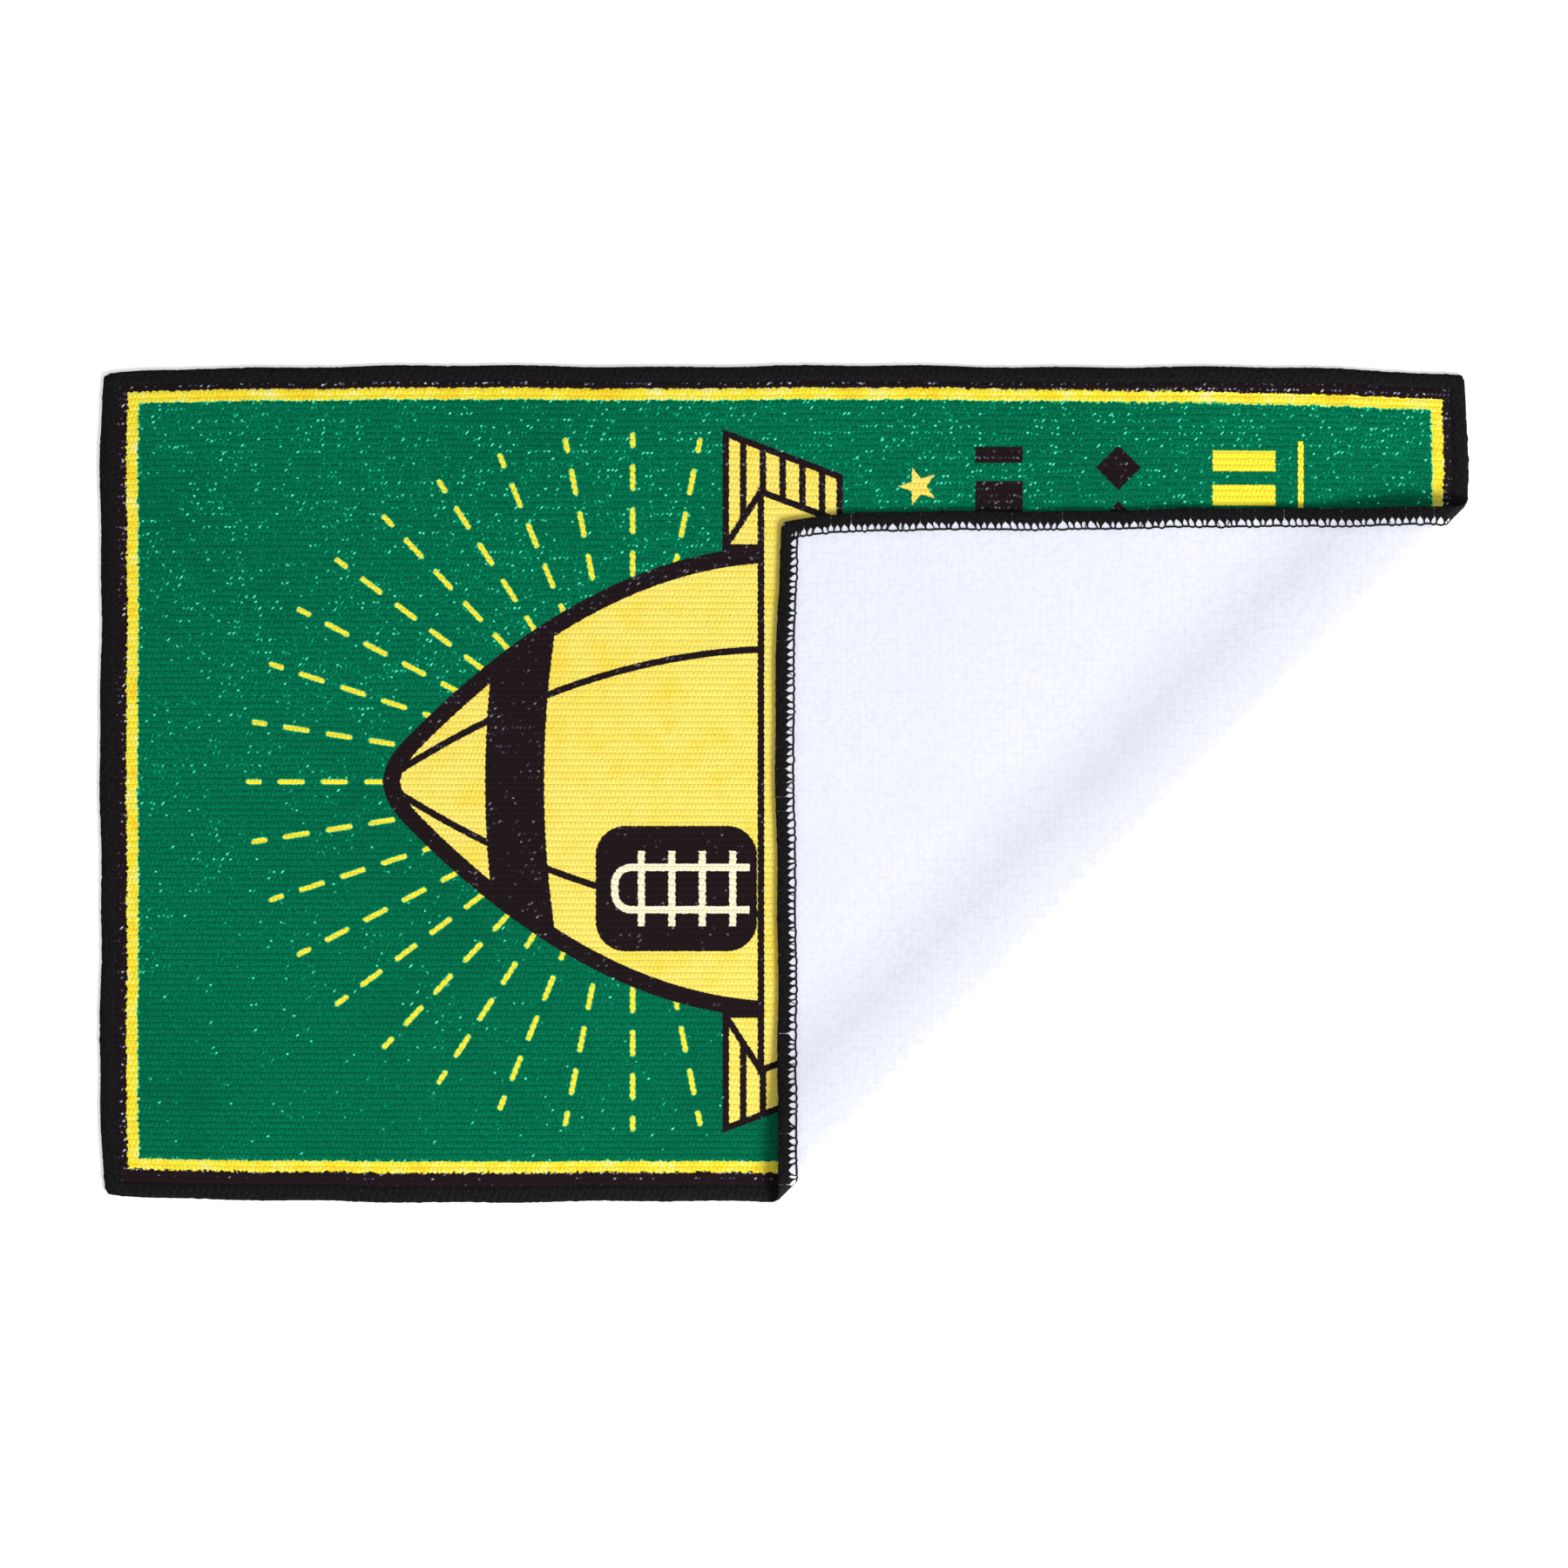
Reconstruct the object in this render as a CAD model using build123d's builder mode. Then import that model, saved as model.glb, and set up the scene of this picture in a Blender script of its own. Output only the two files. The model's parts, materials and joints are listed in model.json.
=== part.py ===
"""A knitted sports rally towel, lying flat with one corner turned over.

Millimetres. The origin is on the surface that the towel lies on, under the middle of its
outline. +X runs along the towel, +Y across it and +Z up, out of the printed face.

The towel is one rectangle of cloth with a three-thread overlock seam round its edge. The
turned corner folds about a line at FOLD_ANGLE to +X, so cloth and threads are divided at
that fold into the flat panel, the curved fold and the turned corner.

Two directions belong to the fold: ALONG runs up the fold line, and OUTWARD points from
the panel towards the corner. In the flat cloth, `reach` is the distance OUTWARD from the
line where the panel ends and the bend begins.
"""

import os
from math import asin, cos, degrees, pi, radians, sin

from build123d import *

# Cloth
LENGTH = 457.2
WIDTH = 279.4
CLOTH_THICKNESS = 1.4

# Overlock seam: it squeezes the cloth's edge by one looper thread on each face
SEAM_WIDTH = 5.8
LOOPER_THICKNESS = 0.3
NEEDLE_LINE_WIDTH = 0.5

# Fold
FOLD_ANGLE = 45.3
FOLD_DISTANCE = 93.5  # from the origin to the line where the bend begins
BEND_RADIUS = 2.4  # of the middle of the cloth
SLOPE_RUN = 43.0  # over which the turned corner comes down onto the panel
LAYER_GAP = 0.3  # between the panel and the turned corner

# The two face layers and the squeezed core between them, measured up from the back face
PRINTED_FACE = CLOTH_THICKNESS
UPPER_LOOPER_BASE = CLOTH_THICKNESS - LOOPER_THICKNESS
SEAM_MIDDLE = CLOTH_THICKNESS / 2
NEEDLE_SIDE = SEAM_WIDTH + NEEDLE_LINE_WIDTH

# Fold directions and planes
ALONG = Vector(cos(radians(FOLD_ANGLE)), sin(radians(FOLD_ANGLE)), 0)
OUTWARD = Vector(ALONG.Y, -ALONG.X, 0)
FOLD_START = OUTWARD * FOLD_DISTANCE
SECTION = Plane(origin=FOLD_START, x_dir=OUTWARD, z_dir=ALONG * -1)
PANEL_LIMIT = Plane(origin=FOLD_START, z_dir=OUTWARD)

# The bend is a half turn. The slope is two equal arcs, so that it starts and ends level.
BEND_LENGTH = pi * BEND_RADIUS
BEND_CENTRE_HEIGHT = BEND_RADIUS + CLOTH_THICKNESS / 2
FOLD_TOP = 2 * BEND_RADIUS + CLOTH_THICKNESS
CORNER_TOP = 2 * CLOTH_THICKNESS + LAYER_GAP
SLOPE_DROP = FOLD_TOP - CORNER_TOP
SLOPE_RADIUS = (SLOPE_RUN**2 + SLOPE_DROP**2) / (4 * SLOPE_DROP)
SLOPE_TURN = asin(SLOPE_RUN / (2 * SLOPE_RADIUS))
SLOPE_LENGTH = 2 * SLOPE_RADIUS * SLOPE_TURN
CORNER_REACH = BEND_LENGTH + SLOPE_LENGTH
REACH_GAIN_UPWARD = Vector(0, 0, BEND_LENGTH / FOLD_TOP)  # per mm of height, in the bend
CORNER_LIMIT = Plane(origin=FOLD_START + OUTWARD * CORNER_REACH, z_dir=OUTWARD)

# Turning the flat corner half a turn about the hinge line lays it on the panel
HINGE_HEIGHT = CLOTH_THICKNESS + LAYER_GAP / 2
HINGE_DISTANCE = FOLD_DISTANCE + (CORNER_REACH - SLOPE_RUN) / 2
TURNED = Plane(
    origin=OUTWARD * (2 * HINGE_DISTANCE) + Vector(0, 0, 2 * HINGE_HEIGHT),
    x_dir=(cos(radians(2 * FOLD_ANGLE)), sin(radians(2 * FOLD_ANGLE)), 0),
    z_dir=(0, 0, -1),
)

EDGES = {
    "left": Vector(-1, 0, 0),
    "top": Vector(0, 1, 0),
    "right": Vector(1, 0, 0),
    "bottom": Vector(0, -1, 0),
}
CROSSED_EDGES = ("right", "bottom")  # the two edges that the fold line crosses


def edge_distance(edge):
    """Distance from the middle of the towel to the cut edge."""
    return LENGTH / 2 if EDGES[edge].X else WIDTH / 2


def mitred_strip(edge, outer_inset, inner_inset):
    """Corners of the band between two insets along one whole edge, mitred at its ends."""
    direction = EDGES[edge]
    sideways = Vector(-direction.Y, direction.X, 0)
    half_span = WIDTH / 2 if direction.X else LENGTH / 2
    corners = []
    for inset, side in (
        (outer_inset, -1),
        (outer_inset, 1),
        (inner_inset, 1),
        (inner_inset, -1),
    ):
        corner = direction * (edge_distance(edge) - inset)
        corner += sideways * (side * (half_span - inset))
        corners.append((corner.X, corner.Y))
    return corners


# The layers of each thread in the seam: (outer inset, inner inset, low, high)
THREAD_LAYERS = {
    "lower_looper_thread": [
        (0, SEAM_WIDTH, 0, LOOPER_THICKNESS),
        (0, LOOPER_THICKNESS, LOOPER_THICKNESS, SEAM_MIDDLE),
    ],
    "upper_looper_thread": [
        (0, SEAM_WIDTH, UPPER_LOOPER_BASE, PRINTED_FACE),
        (0, LOOPER_THICKNESS, SEAM_MIDDLE, UPPER_LOOPER_BASE),
    ],
    "needle_thread": [
        (SEAM_WIDTH, NEEDLE_SIDE, UPPER_LOOPER_BASE, PRINTED_FACE),
    ],
}

# The layers of the cloth: (inset from the cut edge, low, high)
CLOTH_LAYERS = [
    (SEAM_WIDTH, 0, LOOPER_THICKNESS),
    (LOOPER_THICKNESS, LOOPER_THICKNESS, UPPER_LOOPER_BASE),
    (NEEDLE_SIDE, UPPER_LOOPER_BASE, PRINTED_FACE),
]


# Flat pieces: the panel as it lies, and the corner on the turned plane


def flat_cloth(lay, limit, kept):
    """The cloth on one side of a fold limit, laid on a plane."""
    with BuildPart() as cloth:
        for inset, low, high in CLOTH_LAYERS:
            with BuildSketch(Plane.XY.offset(low)):
                Rectangle(LENGTH - 2 * inset, WIDTH - 2 * inset)
            extrude(amount=high - low)
        split(bisect_by=limit, keep=kept)
    return lay.from_local_coords(cloth.part)


def flat_thread(edge, thread, lay, limit, kept):
    """One thread's run along an edge, on one side of a fold limit, laid on a plane."""
    with BuildPart() as run:
        for outer_inset, inner_inset, low, high in THREAD_LAYERS[thread]:
            with BuildSketch(Plane.XY.offset(low)):
                Polygon(*mitred_strip(edge, outer_inset, inner_inset), align=None)
            extrude(amount=high - low)
        if edge in CROSSED_EDGES:
            split(bisect_by=limit, keep=kept)
    return lay.from_local_coords(run.part)


# Folded pieces: each layer is a bend and a slope, cut off along the towel's edges


def edge_crossing(edge, inset, reach):
    """Distance ALONG the fold at which an inset edge line is met, at a given reach."""
    direction = EDGES[edge]
    across = direction.dot(OUTWARD) * (FOLD_DISTANCE + reach)
    return (edge_distance(edge) - inset - across) / direction.dot(ALONG)


def end_plane(edge, inset, growth):
    """Where an inset edge cuts the fold: growth is the gradient of reach, from FOLD_START."""
    crossing = edge_crossing(edge, inset, 0)
    shift = edge_crossing(edge, inset, 1) - crossing
    return Plane(origin=FOLD_START + ALONG * crossing, z_dir=ALONG - growth * shift)


def bend_end(edge, inset):
    """The bend's end: reach grows outward, and up to the whole bend at its top."""
    return end_plane(edge, inset, OUTWARD + REACH_GAIN_UPWARD)


def slope_end(edge, inset):
    """The slope's end: reach grows back over the panel, up to the corner's own."""
    gain = (CORNER_REACH - REACH_GAIN_UPWARD.Z * CORNER_TOP) / SLOPE_RUN
    return end_plane(edge, inset, REACH_GAIN_UPWARD - OUTWARD * gain)


def trimmed_bar(outline, near_end, far_end):
    """A section of the fold, extruded along it and cut off at two planes."""
    with BuildPart() as bar:
        with BuildSketch(SECTION) as section:
            add(outline)
        extrude(section.sketch, amount=LENGTH, both=True)
        split(bisect_by=near_end, keep=Keep.TOP)
        split(bisect_by=far_end, keep=Keep.BOTTOM)
    return bar.part


def bend_section(low, high):
    """Half ring of the layer between two heights, which are depths from its outside."""
    outer = BEND_CENTRE_HEIGHT - low
    inner = BEND_CENTRE_HEIGHT - high
    with BuildSketch() as section:
        with BuildLine():
            outside = CenterArc((0, BEND_CENTRE_HEIGHT), outer, -90, 180)
            inside = CenterArc((0, BEND_CENTRE_HEIGHT), inner, -90, 180)
            Line(outside @ 0, inside @ 0)
            Line(outside @ 1, inside @ 1)
        make_face()
    return section.sketch


def slope_section(low, high):
    """The layer between two depths, from the top of the bend down to the panel."""
    turn = degrees(SLOPE_TURN)
    with BuildSketch() as section:
        with BuildLine():
            ends = []
            for depth in (low, high):
                leaving = CenterArc(
                    (0, FOLD_TOP - SLOPE_RADIUS), SLOPE_RADIUS - depth, 90, turn
                )
                CenterArc(
                    (-SLOPE_RUN, CORNER_TOP + SLOPE_RADIUS),
                    SLOPE_RADIUS + depth,
                    270,
                    turn,
                )
                ends.append((leaving @ 0, Vector(-SLOPE_RUN, CORNER_TOP - depth)))
            for upper, lower in zip(*ends):
                Line(upper, lower)
        make_face()
    return section.sketch


def folded_layer(low, high, near, far):
    """Bend and slope of one layer, between two (edge, inset) lines up the fold."""
    bend = trimmed_bar(bend_section(low, high), bend_end(*near), bend_end(*far))
    slope = trimmed_bar(slope_section(low, high), slope_end(*near), slope_end(*far))
    return [bend, slope]


def folded_cloth():
    """The cloth between the panel and the corner."""
    bars = []
    for inset, low, high in CLOTH_LAYERS:
        bars += folded_layer(low, high, ("bottom", inset), ("right", inset))
    return bars


def folded_thread(edge, thread):
    """One thread's run round the fold at a crossed edge."""
    bars = []
    for outer_inset, inner_inset, low, high in THREAD_LAYERS[thread]:
        outer, inner = (edge, outer_inset), (edge, inner_inset)
        near, far = (inner, outer) if edge == "right" else (outer, inner)
        bars += folded_layer(low, high, near, far)
    return bars


def write_piece(name, solids):
    """Join a piece's solids, label it and write its STEP file."""
    with BuildPart() as piece:
        for solid in solids:
            add(solid)
    piece.part.label = name
    export_step(piece.part, f"parts/{name}.step")


os.makedirs("parts", exist_ok=True)

write_piece("cloth_panel", [flat_cloth(Plane.XY, PANEL_LIMIT, Keep.BOTTOM)])
write_piece("cloth_fold", folded_cloth())
write_piece("cloth_corner", [flat_cloth(TURNED, CORNER_LIMIT, Keep.TOP)])

for thread in THREAD_LAYERS:
    for edge in EDGES:
        run = flat_thread(edge, thread, Plane.XY, PANEL_LIMIT, Keep.BOTTOM)
        write_piece(f"panel_{edge}_{thread}", [run])
    for edge in CROSSED_EDGES:
        write_piece(f"fold_{edge}_{thread}", folded_thread(edge, thread))
        run = flat_thread(edge, thread, TURNED, CORNER_LIMIT, Keep.TOP)
        write_piece(f"corner_{edge}_{thread}", [run])

print("hinge at", OUTWARD * HINGE_DISTANCE + Vector(0, 0, HINGE_HEIGHT), "along", ALONG)
print(f"the corner starts at a reach of {CORNER_REACH:.3f} mm")
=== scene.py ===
"""A printed microfibre rally towel, lying flat with its lower right corner turned over.

The cloth and its overlock seam are first laid out flat and are then folded by fold(), which
repeats the CAD model's fold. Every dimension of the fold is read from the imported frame.
"""

import json
import math

import bmesh
import bpy
import numpy as np
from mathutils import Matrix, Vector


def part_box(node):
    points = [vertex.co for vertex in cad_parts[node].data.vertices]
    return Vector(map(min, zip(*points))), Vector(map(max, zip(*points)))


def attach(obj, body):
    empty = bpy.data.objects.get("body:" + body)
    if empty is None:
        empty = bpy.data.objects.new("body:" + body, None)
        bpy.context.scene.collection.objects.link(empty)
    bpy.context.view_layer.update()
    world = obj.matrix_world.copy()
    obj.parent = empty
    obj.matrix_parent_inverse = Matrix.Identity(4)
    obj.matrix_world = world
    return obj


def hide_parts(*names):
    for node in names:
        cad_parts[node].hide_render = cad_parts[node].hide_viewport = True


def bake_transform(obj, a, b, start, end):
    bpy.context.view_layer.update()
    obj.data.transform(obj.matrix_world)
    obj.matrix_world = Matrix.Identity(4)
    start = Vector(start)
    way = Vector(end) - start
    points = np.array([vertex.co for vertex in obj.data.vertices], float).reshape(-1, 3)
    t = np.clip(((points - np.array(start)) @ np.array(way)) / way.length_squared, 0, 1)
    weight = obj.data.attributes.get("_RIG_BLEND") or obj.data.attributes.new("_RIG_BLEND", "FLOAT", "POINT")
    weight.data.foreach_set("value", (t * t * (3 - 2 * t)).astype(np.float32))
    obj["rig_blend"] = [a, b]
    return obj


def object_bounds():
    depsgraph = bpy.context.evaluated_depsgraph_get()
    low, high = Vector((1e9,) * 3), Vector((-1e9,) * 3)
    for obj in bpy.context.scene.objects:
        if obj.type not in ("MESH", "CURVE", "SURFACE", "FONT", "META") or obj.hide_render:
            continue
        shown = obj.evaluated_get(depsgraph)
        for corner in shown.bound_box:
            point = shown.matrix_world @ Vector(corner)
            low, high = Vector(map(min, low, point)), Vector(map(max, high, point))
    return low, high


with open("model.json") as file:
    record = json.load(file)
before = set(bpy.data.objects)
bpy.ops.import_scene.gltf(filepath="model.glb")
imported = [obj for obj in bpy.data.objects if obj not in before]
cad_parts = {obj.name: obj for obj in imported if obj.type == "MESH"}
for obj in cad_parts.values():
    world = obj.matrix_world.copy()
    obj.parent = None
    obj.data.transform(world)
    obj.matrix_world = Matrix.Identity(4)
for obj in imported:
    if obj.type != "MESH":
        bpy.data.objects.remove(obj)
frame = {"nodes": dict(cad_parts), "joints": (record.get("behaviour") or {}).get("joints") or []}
cad_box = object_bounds()

MM = 0.001

# ---------------------------------------------------------------- dimensions from the frame
LENGTH = cad_box[1].x - cad_box[0].x
WIDTH = cad_box[1].y - cad_box[0].y
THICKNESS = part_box("cloth_panel")[1].z
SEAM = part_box("panel_left_upper_looper_thread")[1].x - cad_box[0].x
FOLD_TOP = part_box("cloth_fold")[1].z
CORNER_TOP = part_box("cloth_corner")[1].z

HINGE = frame["joints"][0]
ALONG = np.array(HINGE["axis"][:2])
OUTWARD = np.array([ALONG[1], -ALONG[0]])


def furthest_outward(node):
    """How far a CAD node reaches along OUTWARD, from the origin."""
    corners = np.array([v.co[:2] for v in frame["nodes"][node].data.vertices])
    return float((corners @ OUTWARD).max())


FOLD_LINE = furthest_outward("cloth_panel")
SLOPE_RUN = FOLD_LINE - furthest_outward("cloth_corner")
BEND_CENTRE = FOLD_TOP / 2
BEND_LENGTH = math.pi * (BEND_CENTRE - THICKNESS / 2)
SLOPE_DROP = FOLD_TOP - CORNER_TOP
SLOPE_RADIUS = (SLOPE_RUN ** 2 + SLOPE_DROP ** 2) / (4 * SLOPE_DROP)
SLOPE_TURN = math.asin(SLOPE_RUN / (2 * SLOPE_RADIUS))
CORNER_REACH = BEND_LENGTH + 2 * SLOPE_RADIUS * SLOPE_TURN

# ---------------------------------------------------------------- the cloth's own shape
GRID_STEP = 4.2 * MM
BEND_CUTS = 12  # an even number, so that one cut is at the middle of the bend
FLAT_STRIP = 8.0 * MM  # the flat cloth beside the fold line that is in one piece with the bend
SLOPE_CUTS = 12
CORNER_RADIUS = 1.3 * MM
STITCH_PITCH = 2.4 * MM
FACE_SEAM = 4.9 * MM  # how far the seam reaches in from the edge on the printed face
END_GAP = 1.0 * MM  # from the last stitch of an edge to the towel's corner
RIPPLE_MEAN = 0.11 * MM
FOLD_CALM = 12 * MM  # how far from the fold line the ripple grows to its full size
# Inset from the cut edge, and the heights of the cloth's back and printed face there.
CLOTH_PROFILE = np.array([
    (0.3, 0.45, 0.95), (1.2, 0.34, 1.06), (3.4, 0.3, 1.1), (5.0, 0.24, 1.1),
    (5.9, 0.16, 1.3), (6.8, 0.04, 1.38), (9.0, 0.0, 1.4)]) * MM

rng = np.random.default_rng(11)


def pulled(x, y):
    """Where a point of the towel's drawn rectangle really lies on the flat, unfolded towel.

    The knit is drawn in near the four corners, the corners are slightly round and the edges
    aren't quite straight.
    """
    half_x, half_y = LENGTH / 2, WIDTH / 2
    from_left, from_right = x + half_x, half_x - x
    from_ends = np.minimum(half_y - np.abs(y), half_y)
    over_x = np.abs(x) - (half_x - CORNER_RADIUS)
    over_y = np.abs(y) - (half_y - CORNER_RADIUS)
    in_corner = (over_x > 0) & (over_y > 0)
    longest = np.maximum(over_x, over_y)
    share = np.where(in_corner, longest / np.maximum(np.hypot(over_x, over_y), 1e-9), 1)
    shorter_x = np.where(in_corner, over_x * (1 - share), 0) * np.sign(x)
    shorter_y = np.where(in_corner, over_y * (1 - share), 0) * np.sign(y)
    along_x, along_y = x / half_x, y / half_y
    # In millimetres: how far the corners are drawn in, and the edges' waves.
    pull_y = 3.0 * np.exp(-from_left / (22 * MM)) + 2.9 * np.exp(-from_right / (42 * MM))
    pull_x = np.where((x > 0) & (y < 0), 2.6, 1.2) * np.exp(-from_ends / (12 * MM))
    edge_x = np.exp(-(half_x - np.abs(x)) / (14 * MM))
    edge_y = np.exp(-(half_y - np.abs(y)) / (14 * MM))
    wave_x = np.sin(y * 62 + 1.0) * 0.30 + np.sin(y * 171 + 2.2) * 0.16
    wave_y = np.sin(x * 47 + 0.4) * 0.30 + np.sin(x * 139 + 1.1) * 0.18
    new_x = x - shorter_x - np.sign(x) * MM * (pull_x * along_x ** 6 - wave_x * edge_x)
    new_y = y - shorter_y - np.sign(y) * MM * (pull_y * along_y ** 4 - wave_y * edge_y)
    return new_x, new_y


def ripple(x, y):
    """How far cloth on a table rises from place to place, in metres; even at the fold line."""
    slow = np.sin(x * 31 + y * 12 + 0.6) * np.sin(y * 39 - x * 9 + 1.9)
    quick = np.sin(x * 83 - y * 57 + 0.3) * np.sin(y * 91 + x * 34)
    from_fold = (x * OUTWARD[0] + y * OUTWARD[1] - FOLD_LINE) / FOLD_CALM
    return RIPPLE_MEAN + (0.07 * slow + 0.03 * quick) * (1 - np.exp(-from_fold ** 2)) * MM


def fold(x, y, height):
    """Folds points of the flat towel: height is measured from the towel's white back."""
    outward = x * OUTWARD[0] + y * OUTWARD[1]
    along = x * ALONG[0] + y * ALONG[1]
    reach = outward - FOLD_LINE
    turn = np.clip(reach / (BEND_CENTRE - THICKNESS / 2), 0, math.pi)
    bend_out = (BEND_CENTRE - height) * np.sin(turn)
    bend_up = BEND_CENTRE - (BEND_CENTRE - height) * np.cos(turn)
    sloped = np.clip(reach - BEND_LENGTH, 0, CORNER_REACH - BEND_LENGTH) / SLOPE_RADIUS
    first = np.minimum(sloped, SLOPE_TURN)
    second = 2 * SLOPE_TURN - np.maximum(sloped, SLOPE_TURN)
    inner, outer = SLOPE_RADIUS - height, SLOPE_RADIUS + height
    first_out, first_up = -inner * np.sin(first), inner * np.cos(first) + FOLD_TOP - SLOPE_RADIUS
    second_out = -SLOPE_RUN + outer * np.sin(second)
    second_up = CORNER_TOP + SLOPE_RADIUS - outer * np.cos(second)
    flat_out = -SLOPE_RUN - (reach - CORNER_REACH)
    zones = [reach <= 0, reach <= BEND_LENGTH, sloped <= SLOPE_TURN, reach <= CORNER_REACH]
    out = np.select(zones, [reach, bend_out, first_out, second_out], flat_out)
    up = np.select(zones, [height, bend_up, first_up, second_up], CORNER_TOP - height)
    outward = out + FOLD_LINE
    new_x = outward * OUTWARD[0] + along * ALONG[0]
    new_y = outward * OUTWARD[1] + along * ALONG[1]
    return np.stack([new_x, new_y, up + ripple(new_x, new_y)], axis=-1)


def reach_of(x, y):
    """How far past the fold line a point of the drawn rectangle lies."""
    new_x, new_y = pulled(x, y)
    return new_x * OUTWARD[0] + new_y * OUTWARD[1] - FOLD_LINE


# ---------------------------------------------------------------- mesh helpers
def new_piece(name, points, faces, uv, uv_name, materials, material_index=None):
    """Links a smooth-shaded mesh object with one UV coordinate for each point."""
    mesh = bpy.data.meshes.new(name)
    mesh.from_pydata(points.tolist(), [], faces)
    corners = np.empty(len(mesh.loops), dtype=np.int32)
    mesh.loops.foreach_get("vertex_index", corners)
    layer = mesh.uv_layers.new(name=uv_name)
    layer.data.foreach_set("uv", uv[corners].astype(np.float32).ravel())
    for material in materials:
        mesh.materials.append(material)
    if material_index is not None:
        mesh.polygons.foreach_set("material_index", np.array(material_index, dtype=np.int32))
    mesh.update()
    mesh.shade_smooth()
    mesh.set_sharp_from_angle(angle=math.radians(50))
    piece = bpy.data.objects.new(name, mesh)
    bpy.context.scene.collection.objects.link(piece)
    return piece


def grid_lines(total):
    """Grid lines across the cloth: fine in the seam, regular in the middle."""
    half = total / 2
    insets = np.array([0.3, 0.7, 1.2, 1.9, 2.6, 3.4, 5.0, 5.9, 6.8, 9.0]) * MM
    middle = half - insets[-1]
    regular = np.linspace(-middle, middle, int(2 * middle / GRID_STEP) + 1)
    return np.concatenate([insets - half, regular[1:-1], (half - insets)[::-1]])


# ---------------------------------------------------------------- cloth
def flat_cloth():
    """The whole towel as a flat bmesh, cut where it bends. Two layers keep the drawn place."""
    xs, ys = grid_lines(LENGTH), grid_lines(WIDTH)
    drawn_x, drawn_y = (a.ravel() for a in np.meshgrid(xs, ys, indexing="ij"))
    place_x, place_y = pulled(drawn_x, drawn_y)
    cloth = bmesh.new()
    layers = [cloth.verts.layers.float.new(name) for name in ("drawn_x", "drawn_y")]
    made = []
    for i in range(len(drawn_x)):
        vertex = cloth.verts.new((place_x[i], place_y[i], 0))
        vertex[layers[0]] = drawn_x[i]
        vertex[layers[1]] = drawn_y[i]
        made.append(vertex)
    across = len(ys)
    for i in range(len(xs) - 1):
        for j in range(across - 1):
            a = i * across + j
            cloth.faces.new((made[a], made[a + across], made[a + across + 1], made[a + 1]))
    bend = np.linspace(0, BEND_LENGTH, BEND_CUTS + 1)
    slope = np.linspace(BEND_LENGTH, CORNER_REACH, SLOPE_CUTS + 1)[1:]
    for reach in np.concatenate([[-FLAT_STRIP], bend, slope]):
        cut_cloth(cloth, reach)
    return cloth


def cut_cloth(cloth, reach):
    """Divides the flat cloth along a line parallel to the fold."""
    normal = (OUTWARD[0], OUTWARD[1], 0)
    centre = tuple(OUTWARD * (FOLD_LINE + reach)) + (0,)
    parts = cloth.verts[:] + cloth.edges[:] + cloth.faces[:]
    bmesh.ops.bisect_plane(cloth, geom=parts, dist=1e-7, plane_co=centre, plane_no=normal)


def sheet_faces(rings, count):
    """Faces of a closed sheet, from the printed side's faces: its count points come first.

    Also returns the material of each face: 0 on the printed side and 1 elsewhere.
    """
    faces, sides = [], []
    edges = {}
    for ring in rings:
        faces.append(ring)
        sides.append(0)
        faces.append([i + count for i in reversed(ring)])
        sides.append(1)
        for a, b in zip(ring, ring[1:] + ring[:1]):
            edges[(a, b)] = True
    for a, b in edges:
        if (b, a) not in edges:
            faces.append([b, a, a + count, b + count])
            sides.append(1)
    return faces, sides


def closed_cloth(cloth, name, low_reach, high_reach, materials):
    """One zone of the cloth as a closed, folded sheet; returns it, its flat points and area."""
    layers = [cloth.verts.layers.float[n] for n in ("drawn_x", "drawn_y")]
    kept = []
    for face in cloth.faces:
        reach = float(np.dot(face.calc_center_median()[:2], OUTWARD)) - FOLD_LINE
        if low_reach < reach < high_reach:
            kept.append(face)
    number = {}
    for face in kept:
        for vertex in face.verts:
            number.setdefault(vertex, len(number))
    place = np.array([v.co[:2] for v in number])
    drawn = np.array([(v[layers[0]], v[layers[1]]) for v in number])
    inset = np.minimum(LENGTH / 2 - np.abs(drawn[:, 0]), WIDTH / 2 - np.abs(drawn[:, 1]))
    bottom = np.interp(inset, CLOTH_PROFILE[:, 0], CLOTH_PROFILE[:, 1])
    top = np.interp(inset, CLOTH_PROFILE[:, 0], CLOTH_PROFILE[:, 2])
    printed = fold(place[:, 0], place[:, 1], top)
    back = fold(place[:, 0], place[:, 1], bottom)
    faces, sides = sheet_faces([[number[v] for v in face.verts] for face in kept], len(number))
    points = np.concatenate([printed, back])
    piece = new_piece(name, points, faces, np.tile(drawn, (2, 1)), "drawn", materials, sides)
    area = sum(face.calc_area() for face in kept)
    return piece, place, area


# ---------------------------------------------------------------- overlock seam
# Each edge's middle, the direction it is sewn in, the direction into the towel and its length.
EDGES = {
    "left": ((-LENGTH / 2, 0), (0, -1), (1, 0), WIDTH),
    "right": ((LENGTH / 2, 0), (0, 1), (-1, 0), WIDTH),
    "top": ((0, WIDTH / 2), (-1, 0), (0, -1), LENGTH),
    "bottom": ((0, -WIDTH / 2), (1, 0), (0, 1), LENGTH),
}


def on_edge(edge, along, inset, height):
    """Folded places of seam points, given along an edge and inset from it."""
    start, direction, inward, _ = EDGES[edge]
    x = start[0] + direction[0] * along + inward[0] * inset
    y = start[1] + direction[1] * along + inward[1] * inset
    return fold(*pulled(x, y), height)


SEAM_ZONES = ("panel", "bend", "slope", "corner")


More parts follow.
